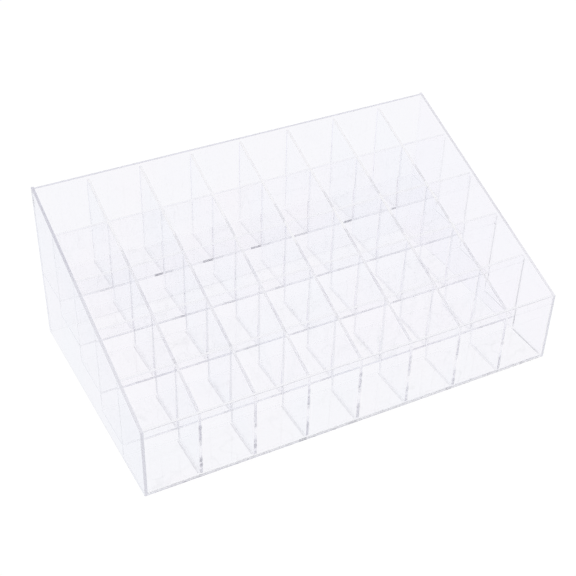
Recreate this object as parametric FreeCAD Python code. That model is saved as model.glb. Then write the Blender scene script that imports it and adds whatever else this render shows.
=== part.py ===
import FreeCAD, Part
import os

# Lipstick organizer of clear sheets, cemented together: open compartments on stepped floors.
# X is the width, the front faces -Y and Z is up. The origin is on the table, under the middle.

# Compartments
columns = 8
cell_width = 27.0  # clear, between two upright sheets
cell_depth = 25.4

# Steps from each floor up to the next, from the front
first_rise = 7.8
second_rise = 11.7
third_rise = 9.9
fourth_rise = 9.1
floor_rises = [first_rise, second_rise, third_rise, fourth_rise]
rows = len(floor_rises) + 1

# Sheets
panel_thickness = 1.5  # the outer walls
divider_thickness = 1.5  # the upright sheets inside
tread_thickness = 1.5  # the floors
edge_break = 0.1  # chamfer along the polished top edges

# Heights above the table
front_height = 41.0  # rim at the front
back_height = 91.8  # rim at the back
divider_drop = 1.5  # dividers below the rim

# Fits
cement_gap = 0.05  # film of cement between two sheets
lap_clearance = 0.1  # round a half-lap slot
lap_share = 0.5  # of the height that two crossing dividers share
cut_overrun = 1.0  # past the face that a cut goes through
same_place = 0.001  # two points closer than this are one

# Overall sizes
inner_width = columns * cell_width + (columns - 1) * divider_thickness
inner_depth = rows * cell_depth + (rows - 1) * divider_thickness
outer_width = inner_width + 2 * panel_thickness
outer_depth = inner_depth + 2 * panel_thickness
inner_left = -inner_width / 2
inner_front = -inner_depth / 2
inner_back = inner_depth / 2
outer_left = -outer_width / 2
outer_front = -outer_depth / 2
rim_slope = (back_height - front_height) / outer_depth


def rim_at(y):
    return front_height + rim_slope * (y - outer_front)


def divider_top(y):
    return rim_at(y) - divider_drop


def tread_top(row):
    # The front floor lies on the table
    return tread_thickness + sum(floor_rises[: row - 1])


def cross_front(row):
    # Front face of the sheet behind this row
    return inner_front + row * cell_depth + (row - 1) * divider_thickness


def cross_back(row):
    return cross_front(row) + divider_thickness


def column_left(column):
    # Left face of the sheet to the right of this column
    return inner_left + column * cell_width + (column - 1) * divider_thickness


def lap_height(row):
    # The crossing dividers share the stretch from the higher floor to their tops
    lowest = tread_top(row + 1)
    return lowest + lap_share * (divider_top(cross_front(row)) - lowest)


def block(low, high):
    size = high - low
    return Part.makeBox(size.x, size.y, size.z, low)


def upright_sheet(left, thickness, outline):
    # Sheet across X from an outline of (y, z) points
    points = [FreeCAD.Vector(left, y, z) for y, z in outline]
    face = Part.Face(Part.makePolygon(points + points[:1]))
    return face.extrude(FreeCAD.Vector(thickness, 0, 0))


def break_top_edges(sheet, thickness, top):
    # Chamfer the two long edges that run along the top
    def on_top(edge):
        ends = edge.Vertexes
        return edge.Length > thickness and all(abs(end.Z - top(end.Y)) < same_place for end in ends)

    return sheet.makeChamfer(edge_break, [edge for edge in sheet.Edges if on_top(edge)])


def side_panel(left):
    outline = [
        (outer_front, 0),
        (-outer_front, 0),
        (-outer_front, back_height),
        (outer_front, front_height),
    ]
    return break_top_edges(upright_sheet(left, panel_thickness, outline), panel_thickness, rim_at)


def end_panel(front, height):
    # Front or back wall, between the sides
    low = FreeCAD.Vector(inner_left + cement_gap, front, 0)
    high = FreeCAD.Vector(-inner_left - cement_gap, front + panel_thickness, height)
    return break_top_edges(block(low, high), panel_thickness, lambda y: height)


def floor_tread(row):
    # From the sheet in front to under the sheet behind, or to the back wall
    front = (inner_front if row == 1 else cross_back(row - 1)) + cement_gap
    back = inner_back - cement_gap if row == rows else cross_back(row)
    top = tread_top(row)
    low = FreeCAD.Vector(inner_left + cement_gap, front, top - tread_thickness)
    high = FreeCAD.Vector(-inner_left - cement_gap, back, top)
    return block(low, high)


def cross_divider(row):
    # Stands on the back of its row's floor; slots from the top take the column dividers
    top = divider_top(cross_front(row))
    low = FreeCAD.Vector(inner_left + cement_gap, cross_front(row), tread_top(row) + cement_gap)
    high = FreeCAD.Vector(-inner_left - cement_gap, cross_back(row), top)
    sheet = break_top_edges(block(low, high), divider_thickness, lambda y: top)
    slots = []
    for column in range(1, columns):
        left = column_left(column)
        slot_low = FreeCAD.Vector(left - lap_clearance, low.y - cut_overrun, lap_height(row))
        right = left + divider_thickness
        slot_high = FreeCAD.Vector(right + lap_clearance, high.y + cut_overrun, top + cut_overrun)
        slots.append(block(slot_low, slot_high))
    return sheet.cut(slots)


def column_divider(column):
    # Stands on every floor; slots from below straddle the cross dividers
    front = inner_front + cement_gap
    back = inner_back - cement_gap
    outline = [(front, tread_top(1) + cement_gap)]
    for row in range(1, rows):
        slot_front = cross_front(row) - lap_clearance
        slot_back = cross_back(row) + lap_clearance
        slot_end = lap_height(row) + lap_clearance
        outline.append((slot_front, tread_top(row) + cement_gap))
        outline.append((slot_front, slot_end))
        outline.append((slot_back, slot_end))
        outline.append((slot_back, tread_top(row + 1) + cement_gap))
    outline.append((back, tread_top(rows) + cement_gap))
    outline.append((back, divider_top(back)))
    outline.append((front, divider_top(front)))
    sheet = upright_sheet(column_left(column), divider_thickness, outline)
    return break_top_edges(sheet, divider_thickness, divider_top)


pieces = {
    "left_side_panel": side_panel(outer_left),
    "right_side_panel": side_panel(-inner_left),
    "front_panel": end_panel(outer_front, front_height),
    "back_panel": end_panel(inner_back, rim_at(inner_back)),
}
for row in range(1, rows + 1):
    pieces[f"floor_tread_{row}"] = floor_tread(row)
for row in range(1, rows):
    pieces[f"cross_divider_{row}"] = cross_divider(row)
for column in range(1, columns):
    pieces[f"column_divider_{column}"] = column_divider(column)

os.makedirs("parts", exist_ok=True)
for name, shape in pieces.items():
    shape.exportStep(f"parts/{name}.step")
print(f"{len(pieces)} pieces, {outer_width:.1f} x {outer_depth:.1f} x {back_height:.1f} mm")
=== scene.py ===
import bpy
import numpy as np
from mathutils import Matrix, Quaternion, Vector


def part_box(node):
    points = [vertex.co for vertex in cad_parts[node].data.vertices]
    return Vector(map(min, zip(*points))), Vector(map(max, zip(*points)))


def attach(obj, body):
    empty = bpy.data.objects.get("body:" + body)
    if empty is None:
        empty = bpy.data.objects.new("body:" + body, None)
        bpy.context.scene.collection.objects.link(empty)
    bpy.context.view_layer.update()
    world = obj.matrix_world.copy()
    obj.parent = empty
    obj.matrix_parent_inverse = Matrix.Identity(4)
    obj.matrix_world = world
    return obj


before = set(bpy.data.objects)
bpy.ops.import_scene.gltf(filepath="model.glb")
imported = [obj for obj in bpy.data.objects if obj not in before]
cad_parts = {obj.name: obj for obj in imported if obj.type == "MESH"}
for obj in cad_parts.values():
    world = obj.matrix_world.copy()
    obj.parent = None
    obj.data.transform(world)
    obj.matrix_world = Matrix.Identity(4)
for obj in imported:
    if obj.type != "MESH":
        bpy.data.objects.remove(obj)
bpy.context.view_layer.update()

scene = bpy.context.scene
scene.view_settings.view_transform = "Standard"

# Camera: place and aim in metres, in the organizer's own frame
cameraView = {
    "spot": (-0.23962, -0.42953, 0.41086),
    "forward": (0.35886, 0.68600, -0.63294),
    "roll": -0.0179,  # radians about the line of sight
    "focalPixels": 1185.56,
    "centrePixel": (270.0, 330.0),  # where the optical axis meets the picture
    "pictureSize": 576.0,
    "sensorWidth": 36.0,
    "nearest": 0.01,
}


def makeCamera():
    size = cameraView["pictureSize"]
    data = bpy.data.cameras.new("photoCamera")
    data.sensor_width = cameraView["sensorWidth"]
    data.lens = cameraView["focalPixels"] * data.sensor_width / size
    data.shift_x = 0.5 - cameraView["centrePixel"][0] / size
    data.shift_y = cameraView["centrePixel"][1] / size - 0.5
    data.clip_start = cameraView["nearest"]
    camera = bpy.data.objects.new("photoCamera", data)
    scene.collection.objects.link(camera)
    forward = Vector(cameraView["forward"]).normalized()
    camera.rotation_mode = "QUATERNION"
    camera.rotation_quaternion = Quaternion(forward, cameraView["roll"]) @ forward.to_track_quat("-Z", "Y")
    camera.location = cameraView["spot"]
    scene.camera = camera


makeCamera()
print("camera set")

# Light paths: light that enters a sheet's edge is carried along inside for many turns
lightPaths = {"clear": 900, "diffuse": 6}
scene.cycles.max_bounces = lightPaths["clear"]
scene.cycles.transmission_bounces = lightPaths["clear"]
scene.cycles.glossy_bounces = lightPaths["clear"]
scene.cycles.transparent_max_bounces = lightPaths["clear"]
scene.cycles.diffuse_bounces = lightPaths["diffuse"]

# White studio: paper and low sky are white, the sky high up behind the organizer is greyer
studio = {
    "skyLight": (0.97, 0.965, 0.98, 1.0),
    "skyDark": (0.91, 0.91, 0.93, 1.0),
    "darkToward": (0.0, 0.77, 0.64),  # middle of the greyer sky
    "darkEdge": (0.45, 0.95),  # cosine where it starts, and where it is full
    "eyeColour": (1.0, 1.0, 1.0, 1.0),
    "eyeStrength": 1.03,  # of the white that the camera sees
    "paperColour": (0.9, 0.9, 0.9, 1.0),
    "throughSheet": (0.963, 0.96, 0.982, 1.0),  # the paper as the sheets show it
    "shadowShare": 0.05,  # how much of the paper's own shading stays
    "floorDrop": 0.0003,
    "floorSize": 8.0,
}


def makeSky():
    world = bpy.data.worlds.new("whiteStudio")
    scene.world = world
    world.use_nodes = True
    nodes, links = world.node_tree.nodes, world.node_tree.links
    sky = nodes["Background"]
    spot = nodes.new("ShaderNodeTexCoord")
    aim = nodes.new("ShaderNodeVectorMath")
    aim.operation = "DOT_PRODUCT"
    aim.inputs[1].default_value = Vector(studio["darkToward"]).normalized()
    links.new(spot.outputs["Generated"], aim.inputs[0])
    ease = nodes.new("ShaderNodeMapRange")
    ease.interpolation_type = "SMOOTHSTEP"
    ease.inputs["From Min"].default_value = studio["darkEdge"][0]
    ease.inputs["From Max"].default_value = studio["darkEdge"][1]
    links.new(aim.outputs["Value"], ease.inputs["Value"])
    shade = nodes.new("ShaderNodeMix")
    shade.data_type = "RGBA"
    shade.inputs["A"].default_value = studio["skyLight"]
    shade.inputs["B"].default_value = studio["skyDark"]
    links.new(ease.outputs["Result"], shade.inputs["Factor"])
    links.new(shade.outputs["Result"], sky.inputs["Color"])
    seen = nodes.new("ShaderNodeBackground")
    seen.inputs["Color"].default_value = studio["eyeColour"]
    seen.inputs["Strength"].default_value = studio["eyeStrength"]
    path = nodes.new("ShaderNodeLightPath")
    pick = nodes.new("ShaderNodeMixShader")
    links.new(path.outputs["Is Camera Ray"], pick.inputs[0])
    links.new(sky.outputs[0], pick.inputs[1])
    links.new(seen.outputs[0], pick.inputs[2])
    links.new(pick.outputs[0], nodes["World Output"].inputs["Surface"])


def makeFloor():
    half = studio["floorSize"] / 2
    z = -studio["floorDrop"]
    mesh = bpy.data.meshes.new("studioFloor")
    corners = [(-half, -half, z), (half, -half, z), (half, half, z), (-half, half, z)]
    mesh.from_pydata(corners, [], [(0, 1, 2, 3)])
    floor = bpy.data.objects.new("studioFloor", mesh)
    scene.collection.objects.link(floor)
    mat = bpy.data.materials.new("floorPaper")
    mat.use_nodes = True
    nodes, links = mat.node_tree.nodes, mat.node_tree.links
    nodes.remove(nodes["Principled BSDF"])
    paper = nodes.new("ShaderNodeBsdfDiffuse")
    paper.inputs["Color"].default_value = studio["paperColour"]
    path = nodes.new("ShaderNodeLightPath")
    keep = 1.0 - studio["shadowShare"]
    result = paper.outputs[0]
    for kind, colour, strength in (
        ("Is Glossy Ray", studio["throughSheet"], 1.0),
        ("Is Transmission Ray", studio["throughSheet"], 1.0),
        ("Is Camera Ray", studio["eyeColour"], studio["eyeStrength"]),
    ):
        white = nodes.new("ShaderNodeEmission")
        white.inputs["Color"].default_value = colour
        white.inputs["Strength"].default_value = strength
        share = nodes.new("ShaderNodeMath")
        share.operation = "MULTIPLY"
        share.inputs[1].default_value = keep
        links.new(path.outputs[kind], share.inputs[0])
        blend = nodes.new("ShaderNodeMixShader")
        links.new(share.outputs[0], blend.inputs[0])
        links.new(result, blend.inputs[1])
        links.new(white.outputs[0], blend.inputs[2])
        result = blend.outputs[0]
    links.new(result, nodes["Material Output"].inputs["Surface"])
    mesh.materials.append(mat)


makeSky()
makeFloor()
print("studio set")


# Small helpers for node trees
def groupTree(name, inputs, outputs):
    tree = bpy.data.node_groups.new(name, "ShaderNodeTree")
    for label, kind in inputs:
        tree.interface.new_socket(name=label, in_out="INPUT", socket_type=kind)
    for label, kind in outputs:
        tree.interface.new_socket(name=label, in_out="OUTPUT", socket_type=kind)
    return tree, tree.nodes.new("NodeGroupInput"), tree.nodes.new("NodeGroupOutput")


def mathNode(tree, operation, first, second):
    node = tree.nodes.new("ShaderNodeMath")
    node.operation = operation
    for socket, value in zip(node.inputs, (first, second)):
        if isinstance(value, (int, float)):
            socket.default_value = value
        else:
            tree.links.new(value, socket)
    return node.outputs[0]


def stepNode(tree, value, low, high, start=0.0, end=1.0):
    node = tree.nodes.new("ShaderNodeMapRange")
    node.interpolation_type = "SMOOTHSTEP"
    tree.links.new(value, node.inputs["Value"])
    for label, number in (("From Min", low), ("From Max", high), ("To Min", start), ("To Max", end)):
        node.inputs[label].default_value = number
    return node.outputs["Result"]


def mixNode(tree, factor, first, second):
    node = tree.nodes.new("ShaderNodeMix")
    node.data_type = "RGBA"
    tree.links.new(factor, node.inputs["Factor"])
    for label, value in (("A", first), ("B", second)):
        if isinstance(value, tuple):
            node.inputs[label].default_value = value
        else:
            tree.links.new(value, node.inputs[label])
    return node.outputs["Result"]


def noiseNode(tree, place, look):
    if "stretch" in look:
        mapping = tree.nodes.new("ShaderNodeMapping")
        mapping.inputs["Scale"].default_value = look["stretch"]
        mapping.inputs["Rotation"].default_value = look.get("turn", (0.0, 0.0, 0.0))
        tree.links.new(place, mapping.inputs["Vector"])
        place = mapping.outputs["Vector"]
    node = tree.nodes.new("ShaderNodeTexNoise")
    node.inputs["Scale"].default_value = look["scale"]
    node.inputs["Detail"].default_value = look["detail"]
    tree.links.new(place, node.inputs["Vector"])
    return node.outputs["Fac"]


# Where one kind of face gives way to another, as shares of its normal: along the sheet's thin direction
# for polished faces and bevels, and upward for level edges
edgeLimits = {"face": (0.85, 0.95), "bevel": (0.3, 0.5), "level": (0.4, 0.6)}


# Tone by the way a face looks, with painted shade on the edges: a polished face keeps its tint, and a
# bevel, level edge, upright edge or foot takes a grey of its own, painted for the shade along a clear
# sheet's edges
def makePaintedEdgeShade():
    labels = ("Face", "Bevel", "Level", "Upright", "Foot")
    colours = [(label, "NodeSocketColor") for label in labels]
    tree, given, result = groupTree(
        "paintedEdgeShade",
        [("Axis", "NodeSocketVector"), ("Foot Height", "NodeSocketFloat")] + colours,
        [("Colour", "NodeSocketColor"), ("Edge", "NodeSocketFloat")],
    )
    geometry = tree.nodes.new("ShaderNodeNewGeometry")
    size = tree.nodes.new("ShaderNodeVectorMath")
    size.operation = "ABSOLUTE"
    tree.links.new(geometry.outputs["Normal"], size.inputs[0])
    along = tree.nodes.new("ShaderNodeVectorMath")
    along.operation = "DOT_PRODUCT"
    tree.links.new(size.outputs[0], along.inputs[0])
    tree.links.new(given.outputs["Axis"], along.inputs[1])
    edge = stepNode(tree, along.outputs["Value"], *edgeLimits["face"], 1.0, 0.0)
    parts = tree.nodes.new("ShaderNodeSeparateXYZ")
    tree.links.new(size.outputs[0], parts.inputs[0])
    level = stepNode(tree, parts.outputs["Z"], *edgeLimits["level"])
    place = tree.nodes.new("ShaderNodeTexCoord")
    where = tree.nodes.new("ShaderNodeSeparateXYZ")
    tree.links.new(place.outputs["Object"], where.inputs[0])
    foot = mathNode(tree, "LESS_THAN", where.outputs["Z"], given.outputs["Foot Height"])
    flat = mixNode(tree, foot, given.outputs["Level"], given.outputs["Foot"])
    square = mixNode(tree, level, given.outputs["Upright"], flat)
    bevel = stepNode(tree, along.outputs["Value"], *edgeLimits["bevel"])
    rim = mixNode(tree, bevel, square, given.outputs["Bevel"])
    tree.links.new(mixNode(tree, edge, given.outputs["Face"], rim), result.inputs["Colour"])
    tree.links.new(edge, result.inputs["Edge"])
    return tree


# Noises, with scales per metre: slow drift of tint, thin darker streaks along a flow's middle value inside
# patches, smears and scratches from handling and wiping, and the slow wave and finer ripple of the faces
sheetNoise = {
    "drift": {"scale": 26.0, "detail": 1.0, "limits": (0.35, 0.65)},
    "flow": {
        "scale": 75.0, "detail": 1.5, "stretch": (1.0, 1.0, 0.3),
        "middle": 0.5, "limits": (0.006, 0.02),
    },
    "patch": {"scale": 35.0, "detail": 0.0, "limits": (0.45, 0.6)},
    "smear": {"scale": 60.0, "detail": 4.0, "limits": (0.5, 0.75)},
    "scratch": {
        "scale": 30.0, "detail": 2.0, "stretch": (1.0, 22.0, 22.0),
        "turn": (0.5, 0.7, 0.4), "limits": (0.66, 0.74),
    },
    "wave": {"scale": 22.0, "detail": 0.0},
    "ripple": {"scale": 90.0, "detail": 1.0, "stretch": (1.0, 1.0, 2.5), "share": 0.2},
}


# Drifting tint, streaks, roughness and height of a sheet's faces
def makeSheetWear():
    tree, given, result = groupTree(
        "sheetWear",
        [(label, "NodeSocketColor") for label in ("Cool", "Warm", "Streak")]
        + [(label, "NodeSocketFloat") for label in ("Haze", "Scratch")],
        [("Tint", "NodeSocketColor"), ("Roughness", "NodeSocketFloat"), ("Height", "NodeSocketFloat")],
    )
    place = tree.nodes.new("ShaderNodeTexCoord").outputs["Object"]
    noise = {name: noiseNode(tree, place, look) for name, look in sheetNoise.items()}
    limits = {name: look["limits"] for name, look in sheetNoise.items() if "limits" in look}
    drift = stepNode(tree, noise["drift"], *limits["drift"])
    tint = mixNode(tree, drift, given.outputs["Cool"], given.outputs["Warm"])
    fromMiddle = mathNode(tree, "SUBTRACT", noise["flow"], sheetNoise["flow"]["middle"])
    line = stepNode(tree, mathNode(tree, "ABSOLUTE", fromMiddle, 0.0), *limits["flow"], 1.0, 0.0)
    patch = stepNode(tree, noise["patch"], *limits["patch"])
    streak = mathNode(tree, "MULTIPLY", line, patch)
    tree.links.new(mixNode(tree, streak, tint, given.outputs["Streak"]), result.inputs["Tint"])
    smear = stepNode(tree, noise["smear"], *limits["smear"])
    scratch = stepNode(tree, noise["scratch"], *limits["scratch"])
    hazy = mathNode(tree, "MULTIPLY", smear, given.outputs["Haze"])
    scored = mathNode(tree, "MULTIPLY", scratch, given.outputs["Scratch"])
    tree.links.new(mathNode(tree, "ADD", hazy, scored), result.inputs["Roughness"])
    fine = mathNode(tree, "MULTIPLY", noise["ripple"], sheetNoise["ripple"]["share"])
    tree.links.new(mathNode(tree, "ADD", noise["wave"], fine), result.inputs["Height"])
    return tree


paintedEdgeShade = makePaintedEdgeShade()
sheetWear = makeSheetWear()

# Clear sheet: what all the sheets share
clearSheet = {
    "ior": 1.49,
    "absorbColour": (0.56, 0.565, 0.65, 1.0),
    "haze": 0.012,
    "scratch": 0.03,
    "edgeRoughness": 0.01,
    "edgeBlue": 0.78,  # below 1, the painted edge shade takes less blue than red and green
    "bevel": 0.8,  # painted shade on the small bevels along the top edges
    "foot": 1.0,  # tone of the edges that the organizer stands on
    "footHeight": 0.0005,  # metres, and edges below it are such ones
    "rippleDistance": 0.00004,  # metres
    "bondedDown": 0.8,  # a bonded foot looks down by at least this share of its normal
    "tintedColumns": 2,  # so many column dividers from the left carry painted shade, a darker tint than the others of the same sheet
}


def nodesNamed(stem):
    return sorted(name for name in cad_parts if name.startswith(stem))


columnNames, crossNames, treadNames = (
    nodesNamed(stem) for stem in ("column_divider_", "cross_divider_", "floor_tread_")
)

shaded = clearSheet["tintedColumns"]

# Each kind of sheet: its nodes, thin direction, loss of light with depth, the two tints that its faces
# drift between, and the tone of its thin darker streaks. The tints are its faint lavender, set lighter or
# darker per kind as painted light and painted shade, and its level and upright greys are painted shade on
# its edges.
# A bonded foot is lost in the sheet under it.
sheetKinds = {
    "leftPanel": {
        "nodes": ["left_side_panel"], "axis": (1, 0, 0), "absorb": 0.5,
        "cool": (0.940, 0.957, 0.981), "warm": (0.949, 0.957, 0.980),
        "streak": 0.975, "level": 0.68, "upright": 0.77, "bonded": False,
    },
    "rightPanel": {
        "nodes": ["right_side_panel"], "axis": (1, 0, 0), "absorb": 0.5,
        "cool": (0.974, 0.974, 0.995), "warm": (0.978, 0.972, 0.992),
        "streak": 0.995, "level": 0.82, "upright": 0.805, "bonded": False,
    },
    "frontPanel": {
        "nodes": ["front_panel"], "axis": (0, 1, 0), "absorb": 0.5,
        "cool": (0.984, 0.988, 0.993), "warm": (0.989, 0.987, 0.992),
        "streak": 1.0, "level": 0.9, "upright": 1.0, "bonded": False,
    },
    "backPanel": {
        "nodes": ["back_panel"], "axis": (0, 1, 0), "absorb": 0.5,
        "cool": (0.981, 0.983, 0.992), "warm": (0.988, 0.983, 0.990),
        "streak": 0.995, "level": 0.62, "upright": 0.85, "bonded": False,
    },
    "crossDivider": {
        "nodes": crossNames, "axis": (0, 1, 0), "absorb": 0.3,
        "cool": (0.987, 0.987, 0.996), "warm": (0.992, 0.986, 0.995),
        "streak": 0.975, "level": 0.91, "upright": 1.0, "bonded": True,
    },
    "leftColumn": {
        "nodes": columnNames[:shaded], "axis": (1, 0, 0), "absorb": 0.5,
        "cool": (0.968, 0.981, 0.993), "warm": (0.978, 0.982, 0.992),
        "streak": 0.95, "level": 0.955, "upright": 1.0, "bonded": False,
    },
    "rightColumn": {
        "nodes": columnNames[shaded:], "axis": (1, 0, 0), "absorb": 0.5,
        "cool": (0.984, 0.992, 1.0), "warm": (0.992, 0.992, 0.999),
        "streak": 0.98, "level": 0.965, "upright": 1.0, "bonded": False,
    },
    "floorTread": {
        "nodes": treadNames, "axis": (0, 0, 1), "absorb": 0.5,
        "cool": (0.985, 0.986, 0.993), "warm": (0.989, 0.985, 0.992),
        "streak": 0.95, "level": 1.0, "upright": 1.0, "bonded": False,
    },
}


def paintedEdgeGrey(value):
    return (value, value, value ** clearSheet["edgeBlue"], 1.0)


def clearSheetMaterial(name, kind):
    mat = bpy.data.materials.new(name)
    mat.use_nodes = True
    tree = mat.node_tree
    nodes, links = tree.nodes, tree.links
    shader = nodes["Principled BSDF"]
    shader.inputs["IOR"].default_value = clearSheet["ior"]
    shader.inputs["Transmission Weight"].default_value = 1.0
    wear = nodes.new("ShaderNodeGroup")
    wear.node_tree = sheetWear
    wear.inputs["Cool"].default_value = kind["cool"] + (1.0,)
    wear.inputs["Warm"].default_value = kind["warm"] + (1.0,)
    streak = tuple(channel * kind["streak"] for channel in kind["cool"])
    wear.inputs["Streak"].default_value = streak + (1.0,)
    wear.inputs["Haze"].default_value = clearSheet["haze"]
    wear.inputs["Scratch"].default_value = clearSheet["scratch"]
    tone = nodes.new("ShaderNodeGroup")
    tone.node_tree = paintedEdgeShade
    tone.inputs["Axis"].default_value = kind["axis"]
    tone.inputs["Foot Height"].default_value = clearSheet["footHeight"]
    links.new(wear.outputs["Tint"], tone.inputs["Face"])
    # The bevel, level and upright greys are painted shade on the sheet's edges
    for label, grey in (
        ("Bevel", clearSheet["bevel"]),
        ("Level", kind["level"]),
        ("Upright", kind["upright"]),
        ("Foot", clearSheet["foot"]),
    ):
        tone.inputs[label].default_value = paintedEdgeGrey(grey)
    links.new(tone.outputs["Colour"], shader.inputs["Base Color"])
    matt = mathNode(tree, "MULTIPLY", tone.outputs["Edge"], clearSheet["edgeRoughness"])
    links.new(mathNode(tree, "ADD", matt, wear.outputs["Roughness"]), shader.inputs["Roughness"])
    bump = nodes.new("ShaderNodeBump")
    bump.inputs["Distance"].default_value = clearSheet["rippleDistance"]
    links.new(wear.outputs["Height"], bump.inputs["Height"])
    links.new(bump.outputs["Normal"], shader.inputs["Normal"])
    if kind["bonded"]:
        geometry = nodes.new("ShaderNodeNewGeometry")
        parts = nodes.new("ShaderNodeSeparateXYZ")
        links.new(geometry.outputs["Normal"], parts.inputs[0])
        # A normal turns to the ray, so its sign is put back: plus a half outside, minus a half inside
        half = 0.5
        side = mathNode(tree, "SUBTRACT", half, geometry.outputs["Backfacing"])
        outward = mathNode(tree, "MULTIPLY", parts.outputs["Z"], side)
        shown = mathNode(tree, "GREATER_THAN", outward, -half * clearSheet["bondedDown"])
        links.new(shown, shader.inputs["Alpha"])
    tint = nodes.new("ShaderNodeVolumeAbsorption")
    tint.inputs["Color"].default_value = clearSheet["absorbColour"]
    tint.inputs["Density"].default_value = kind["absorb"]
    links.new(tint.outputs["Volume"], nodes["Material Output"].inputs["Volume"])
    return mat


for kindName, kind in sheetKinds.items():
    finish = clearSheetMaterial(kindName + "Sheet", kind)
    for nodeName in kind["nodes"]:
        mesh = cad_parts[nodeName].data
        mesh.materials.clear()
        mesh.materials.append(finish)
print("sheets finished")

# Cement: thin runs in the hairline gaps between the sheets, pale where they bond well and grey at voids
cement = {
    "pale": (0.975, 0.975, 0.985, 1.0),
    "grey": (0.30, 0.295, 0.34, 1.0),
    "roughness": (0.02, 0.12),
    "ior": 1.0,  # the cement bonds, so it bends no light by itself
    "fill": 0.4,  # half the thickness of a run, as a share of its gap
    "around": 8,  # points round a run
    "leastRings": 10,
    "pitch": 1.0,  # millimetres between the rings of a run
    "finePitch": 0.5,  # the same where its marks are short
    "softEnd": 0.8,  # millimetres over which a grey mark fades out
    "speckle": {"scale": 900.0, "detail": 2.0, "limits": (0.3, 0.7)},
    "mottle": (0.7, 1.3),  # how far the speckle varies the grey
    "speckleDistance": 0.00001,  # metres
}


def cementMaterial():
    mat = bpy.data.materials.new("cementFilm")
    mat.use_nodes = True
    tree = mat.node_tree
    nodes, links = tree.nodes, tree.links
    shader = nodes["Principled BSDF"]
    shader.inputs["IOR"].default_value = cement["ior"]
    shader.inputs["Transmission Weight"].default_value = 1.0
    place = nodes.new("ShaderNodeTexCoord").outputs["Object"]
    mark = nodes.new("ShaderNodeAttribute")
    mark.attribute_name = "shade"
    speckle = noiseNode(tree, place, cement["speckle"])
    limits = cement["speckle"]["limits"]
    mottle = stepNode(tree, speckle, *limits, *cement["mottle"])
    mottled = mathNode(tree, "MULTIPLY", mark.outputs["Fac"], mottle)
    links.new(mixNode(tree, mottled, cement["pale"], cement["grey"]), shader.inputs["Base Color"])
    links.new(stepNode(tree, speckle, *limits, *cement["roughness"]), shader.inputs["Roughness"])
    bump = nodes.new("ShaderNodeBump")
    bump.inputs["Distance"].default_value = cement["speckleDistance"]
    links.new(speckle, bump.inputs["Height"])
    links.new(bump.outputs["Normal"], shader.inputs["Normal"])
    return mat


# A run is an ellipse carried along a straight line and shrinking to a point at both ends: at a share u of
# the way its size is the full one times the fourth root of 1 - (2u - 1)^8. Marks are stretches of
# (from, to, grey) along it. Lengths are in millimetres.
def cementRun(start, end, across, halfWidth, gap, shade, marks=(), pitch=cement["pitch"]):
    start, end, across = (np.asarray(values, float) for values in (start, end, across))
    length = np.linalg.norm(end - start)
    steps = max(cement["leastRings"], int(round(length / pitch)))
    around = cement["around"]
    u = (np.arange(steps) + 0.5) / steps
    swell = (1.0 - (2.0 * u - 1.0) ** 8) ** 0.25
    through = np.cross((end - start) / length, across)
    turn = np.arange(around) * 2.0 * np.pi / around
    middle = start + u[:, None] * (end - start)
    wide = (halfWidth * swell)[:, None] * np.cos(turn)
    thick = (cement["fill"] * gap * swell)[:, None] * np.sin(turn)
    rings = middle[:, None, :] + wide[..., None] * across + thick[..., None] * through
    points = np.vstack([rings.reshape(-1, 3), start, end])
    first = np.arange(around)
    second = (first + 1) % around
    row = np.arange(steps - 1)[:, None] * around
    nextRow = row + around
    quads = np.stack([row + first, row + second, nextRow + second, nextRow + first], -1).reshape(-1, 4)
    last = (steps - 1) * around
    pole = np.full(around, steps * around)
    startCap = np.stack([pole, second, first], -1)
    endCap = np.stack([pole + 1, last + first, last + second], -1)
    caps = np.vstack([startCap, endCap])
    tone = np.full(steps, float(shade))
    if len(marks):
        low, high, grey = np.array(marks, float).T
        soft = cement["softEnd"]
        rise = np.clip((u[:, None] * length - low) / soft + 0.5, 0.0, 1.0)
        fall = np.clip((high - u[:, None] * length) / soft + 0.5, 0.0, 1.0)
        tone = np.maximum(tone, (rise * fall * grey).max(1))
    shades = np.concatenate([np.repeat(tone, around), tone[:1], tone[-1:]])
    return points, quads, caps, shades


cementFinish = cementMaterial()
perMetre = 1000.0  # millimetres


def addCement(name, runs):
    points, quads, caps, shades = zip(*runs)
    starts = np.cumsum([0] + [len(part) for part in points[:-1]])
    faces = np.vstack([part + at for part, at in zip(quads, starts)]).tolist()
    faces += np.vstack([part + at for part, at in zip(caps, starts)]).tolist()
    mesh = bpy.data.meshes.new(name)
    mesh.from_pydata((np.vstack(points) / perMetre).tolist(), [], faces)
    tones = mesh.attributes.new("shade", "FLOAT", "POINT")
    tones.data.foreach_set("value", np.concatenate(shades).astype(np.float32))
    mesh.polygons.foreach_set("use_smooth", np.ones(len(faces), bool))
    mesh.materials.append(cementFinish)
    mesh.validate()
    piece = bpy.data.objects.new(name, mesh)
    scene.collection.objects.link(piece)
    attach(piece, "root")


# Where the sheets stand, in millimetres
def nodeBox(name):
    return [np.array(corner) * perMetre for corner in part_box(name)]


columnBoxes = [nodeBox(name) for name in columnNames]
crossBoxes = [nodeBox(name) for name in crossNames]
treadBoxes = [nodeBox(name) for name in treadNames]
frontBox, backBox = nodeBox("front_panel"), nodeBox("back_panel")
rightBox, leftBox = nodeBox("right_side_panel"), nodeBox("left_side_panel")
acrossX, acrossY, acrossZ = np.eye(3)


# The open floor of a row, from its front to the sheet behind it
def rowSpan(row, inset):
    low, high = treadBoxes[row]
    back = crossBoxes[row][0][1] if row < len(crossBoxes) else high[1]
    return low[1] + inset, back - inset


# In the values of the joints, aside and ahead say how far a run lies from its sheet or corner, gap and lift
# how thick it may be, and inset and below how far it stops short. Fade is how grey a bead is at the
# right-hand divider, as a share of that at the left-hand one.

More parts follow.
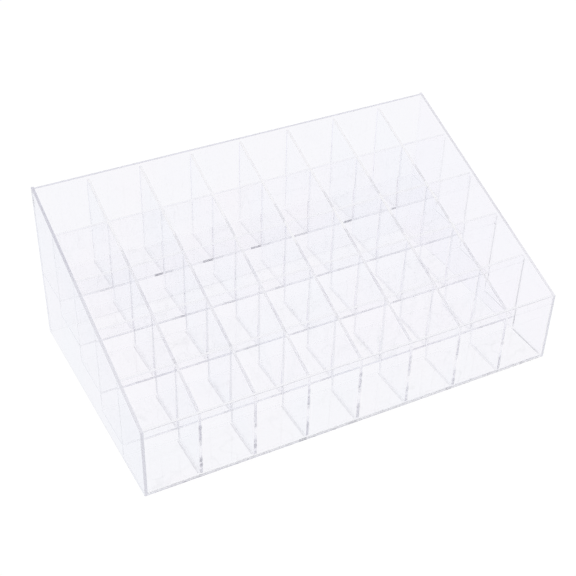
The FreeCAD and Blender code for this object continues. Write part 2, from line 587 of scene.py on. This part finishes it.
# Front joints, seen through the front panel: marks of (from, to, half width, grey) up each divider's edge
frontJoints = {
    "aside": 0.2,  # the cement is squeezed out to the right of the divider's middle
    "marks": [
        [
            (19.5, 32.6, 0.68, 0.19), (29.3, 32.8, 0.82, 0.24), (9.3, 12.2, 0.8, 0.35),
            (5.6, 8.2, 0.82, 0.41), (1.8, 4.4, 0.68, 0.3),
        ],
        [
            (19.3, 33.5, 0.51, 0.12), (19.4, 22.0, 0.74, 0.24), (9.6, 12.0, 0.68, 0.27),
            (5.4, 8.6, 0.82, 0.38), (1.6, 4.0, 0.68, 0.24),
        ],
        [(19.6, 28.3, 0.63, 0.19), (29.3, 32.4, 0.63, 0.2), (2.0, 11.2, 0.68, 0.27)],
        [(18.6, 28.5, 0.84, 0.17), (29.2, 32.0, 0.88, 0.27), (1.8, 11.8, 0.88, 0.23)],
        [
            (18.8, 32.2, 0.78, 0.14), (8.4, 11.6, 0.78, 0.22), (4.4, 6.0, 0.78, 0.22),
            (1.6, 3.8, 0.82, 0.25),
        ],
        [(18.6, 32.2, 0.78, 0.12), (8.0, 12.0, 0.8, 0.17), (1.6, 6.4, 0.88, 0.24)],
        [(17.8, 20.4, 0.8, 0.22), (20.8, 31.8, 0.6, 0.05), (1.6, 10.6, 0.8, 0.22)],
    ],
}
runs = []
for (low, high), marks in zip(columnBoxes, frontJoints["marks"]):
    x = (low[0] + high[0]) / 2 + frontJoints["aside"]
    gap = low[1] - frontBox[1][1]
    y = low[1] - gap / 2
    for bottom, top, wide, grey in marks:
        run = cementRun((x, y, bottom), (x, y, top), acrossX, wide, gap, grey, pitch=cement["finePitch"])
        runs.append(run)
addCement("front_joint_cement", runs)

# Front foot: dashes of (from, to, grey) along the width, where the front floor meets the front panel
frontFoot = {
    "height": 0.5,
    "halfWidth": 0.45,
    "shade": 0.33,
    "dashes": [
        (25.5, 28.3, 0.42), (53.5, 56.6, 0.45), (80.0, 85.0, 0.6), (107.5, 113.5, 0.5),
        (133.0, 142.0, 0.36), (165.8, 170.0, 0.5), (190.0, 199.0, 0.38), (213.0, 215.5, 0.55),
        (217.0, 221.0, 0.42), (223.0, 226.0, 0.45),
    ],
}
low, high = treadBoxes[0]
gap = low[1] - frontBox[1][1]
y, z = low[1] - gap / 2, low[2] + frontFoot["height"]
run = cementRun(
    (low[0], y, z), (high[0], y, z), acrossZ, frontFoot["halfWidth"], gap,
    frontFoot["shade"], frontFoot["dashes"], cement["finePitch"],
)
addCement("front_foot_cement", [run])

# Step seams: dashes of (from, to, grey) along the width, where each higher floor meets the sheet before it
stepSeams = {
    "height": 0.75,
    "halfWidth": 0.7,
    "shades": [0.1, 0.12, 0.12, 0.05],
    "dashes": [
        [
            (24.0, 28.5, 0.29), (52.0, 56.0, 0.26), (78.0, 86.0, 0.22), (106.0, 113.0, 0.27),
            (160.0, 170.0, 0.26), (204.0, 226.0, 0.27),
        ],
        [
            (17.0, 35.0, 0.27), (49.0, 57.0, 0.27), (76.0, 86.0, 0.3), (104.0, 114.0, 0.29),
            (134.0, 143.0, 0.33), (146.0, 154.0, 0.27), (165.0, 171.0, 0.35), (196.0, 201.0, 0.33),
            (204.0, 214.0, 0.27),
        ],
        [
            (28.0, 34.0, 0.29), (48.0, 54.0, 0.32), (53.0, 56.5, 0.56), (77.0, 85.0, 0.35),
            (107.0, 113.0, 0.36), (133.0, 141.0, 0.3), (146.0, 156.0, 0.27), (166.0, 171.0, 0.32),
            (172.0, 186.0, 0.26), (203.0, 213.0, 0.29),
        ],
        [
            (20.0, 28.0, 0.27), (50.6, 55.2, 0.8), (78.2, 84.2, 0.75), (106.6, 113.0, 0.68),
            (131.0, 142.0, 0.35), (164.4, 169.4, 0.72), (195.6, 199.0, 0.55),
        ],
    ],
}
seams = zip(treadBoxes[1:], crossBoxes, stepSeams["shades"], stepSeams["dashes"])
runs = []
for (low, high), crossBox, shade, dashes in seams:
    gap = low[1] - crossBox[1][1]
    y, z = low[1] - gap / 2, low[2] + stepSeams["height"]
    run = cementRun(
        (low[0], y, z), (high[0], y, z), acrossZ, stepSeams["halfWidth"], gap,
        shade, dashes, cement["finePitch"],
    )
    runs.append(run)
addCement("step_seam_cement", runs)

# Divider feet: a pale film under each stretch of a column divider, and a greyer bead along its left side
dividerFeet = {
    "film": {"halfWidth": 0.65, "shades": [0.06, 0.06, 0.05, 0.05, 0.04]},
    "bead": {"halfWidth": 0.5, "shades": [0.21, 0.18, 0.16, 0.13, 0.13], "aside": 0.55},
    "fade": 0.45,
    "lift": 0.05,
    "inset": 0.3,
}
fades = np.linspace(1.0, dividerFeet["fade"], len(columnBoxes))
runs = []
for (low, high), fade in zip(columnBoxes, fades):
    xMiddle, xBead = (low[0] + high[0]) / 2, low[0] - dividerFeet["bead"]["aside"]
    for row, (treadLow, treadHigh) in enumerate(treadBoxes):
        front, back = rowSpan(row, dividerFeet["inset"])
        z = treadHigh[2] + dividerFeet["lift"] / 2
        for part, x, share in (("film", xMiddle, 1.0), ("bead", xBead, fade)):
            wide, shade = dividerFeet[part]["halfWidth"], dividerFeet[part]["shades"][row] * share
            runs.append(cementRun((x, front, z), (x, back, z), acrossX, wide, dividerFeet["lift"], shade))
addCement("divider_foot_cement", runs)

# Crossings: below the half lap a film in front of the cross divider, above it one beside the column
# divider, and a bead up the corner where the column divider's left side meets the cross divider's front
crossings = {
    "film": {"halfWidth": 0.68, "gap": 0.1, "lower": 0.02, "upper": 0.02, "lapShare": 0.5},
    "bead": {
        "halfWidth": 1.0, "gap": 0.1, "ahead": 1.05, "shades": [0.12, 0.12, 0.11, 0.03],
        "dash": (1.0, 12.0, 1.4),  # from, to, and how many times the bead's own grey
    },
    "fade": 0.2,
    "inset": 0.3,
}
film, bead, inset = crossings["film"], crossings["bead"], crossings["inset"]
fades = np.linspace(1.0, crossings["fade"], len(columnBoxes))
runs = []
for row, (crossLow, crossHigh) in enumerate(crossBoxes):
    foot, floorAbove, top = crossLow[2] + inset, treadBoxes[row + 1][1][2], crossHigh[2] - inset
    lap = floorAbove + film["lapShare"] * (crossHigh[2] - floorAbove)
    y = crossLow[1] - film["gap"] / 2
    yMiddle = (crossLow[1] + crossHigh[1]) / 2
    yBead = crossLow[1] - bead["ahead"]
    for (low, high), fade in zip(columnBoxes, fades):
        x = (low[0] + high[0]) / 2
        xLeft = low[0] - film["gap"] / 2
        wide, gap = film["halfWidth"], film["gap"]
        runs.append(cementRun((x, y, foot), (x, y, lap - inset), acrossX, wide, gap, film["lower"]))
        start, end = (xLeft, yMiddle, lap + inset), (xLeft, yMiddle, top)
        runs.append(cementRun(start, end, acrossY, wide, gap, film["upper"]))
        wide, gap = bead["halfWidth"], bead["gap"]
        shade = bead["shades"][row] * fade
        dashFrom, dashTo, times = bead["dash"]
        marks = [(dashFrom, dashTo, shade * times)]
        runs.append(cementRun((xLeft, yBead, foot), (xLeft, yBead, top), acrossY, wide, gap, shade, marks))
addCement("crossing_cement", runs)

# Back joints: a film up the back edge of each column divider, and a bead up its left corner
backJoints = {
    "film": {"halfWidth": 0.7, "shade": 0.14, "dash": (0.5, 11.0, 0.24)},
    "bead": {"halfWidth": 0.4, "gap": 0.1, "shade": 0.05, "dash": (0.5, 16.0, 0.12), "ahead": 0.45},
    "fade": 0.3,
    "below": 2.0,
}
film, bead = backJoints["film"], backJoints["bead"]
fades = np.linspace(1.0, backJoints["fade"], len(columnBoxes))
runs = []
for (low, high), fade in zip(columnBoxes, fades):
    gap = backBox[0][1] - high[1]
    bottom, top = treadBoxes[-1][1][2] + crossings["inset"], high[2] - backJoints["below"]
    x, y = (low[0] + high[0]) / 2, high[1] + gap / 2
    wide, shade, marks = film["halfWidth"], film["shade"], [film["dash"]]
    runs.append(cementRun((x, y, bottom), (x, y, top), acrossX, wide, gap, shade, marks))
    x, y = low[0] - bead["gap"] / 2, backBox[0][1] - bead["ahead"]
    dashFrom, dashTo, grey = bead["dash"]
    wide, shade, marks = bead["halfWidth"], bead["shade"] * fade, [(dashFrom, dashTo, grey * fade)]
    runs.append(cementRun((x, y, bottom), (x, y, top), acrossY, wide, bead["gap"], shade, marks))
addCement("back_joint_cement", runs)

# End joints: a film up both ends of each cross divider, and a bead up its right front corner with marks of
# (from, to, grey) above its foot
endJoints = {
    "film": {"halfWidth": 0.5, "shade": 0.16, "dash": (0.5, 10.0, 0.26)},
    "bead": {
        "halfWidth": 0.45, "gap": 0.1, "ahead": 0.5, "shades": [0.28, 0.2, 0.14, 0.08],
        "marks": [
            [(2.5, 8.5, 0.55), (15.5, 19.0, 0.35)],
            [(9.0, 11.5, 0.4), (17.5, 23.0, 0.28)],
            [(12.0, 16.0, 0.2)],
            [(2.0, 9.0, 0.12)],
        ],
    },
    "below": 1.0,
}
film, bead = endJoints["film"], endJoints["bead"]
runs = []
for (crossLow, crossHigh), shade, marks in zip(crossBoxes, bead["shades"], bead["marks"]):
    y = (crossLow[1] + crossHigh[1]) / 2
    bottom, top = crossLow[2] + crossings["inset"], crossHigh[2] - endJoints["below"]
    gap = crossLow[0] - leftBox[1][0]
    for x in (crossLow[0] - gap / 2, crossHigh[0] + gap / 2):
        wide, grey, dashes = film["halfWidth"], film["shade"], [film["dash"]]
        runs.append(cementRun((x, y, bottom), (x, y, top), acrossY, wide, gap, grey, dashes))
    x, y = rightBox[0][0] - bead["gap"] / 2, crossLow[1] - bead["ahead"]
    wide, gap = bead["halfWidth"], bead["gap"]
    runs.append(cementRun((x, y, bottom), (x, y, top), acrossY, wide, gap, shade, marks))
addCement("end_joint_cement", runs)

# Floor ends: a bead along the right end of each floor strip, beside the right side panel
floorEnds = {
    "halfWidth": 0.5,
    "shades": [0.3, 0.16, 0.1, 0.06, 0.05],
    "aside": 0.55,
    "lift": 0.05,
    "inset": 0.5,
}
runs = []
for row, (low, high) in enumerate(treadBoxes):
    front, back = rowSpan(row, floorEnds["inset"])
    x, z = high[0] - floorEnds["aside"], high[2] + floorEnds["lift"] / 2
    wide, shade = floorEnds["halfWidth"], floorEnds["shades"][row]
    runs.append(cementRun((x, front, z), (x, back, z), acrossX, wide, floorEnds["lift"], shade))
addCement("floor_end_cement", runs)
print("cement laid")
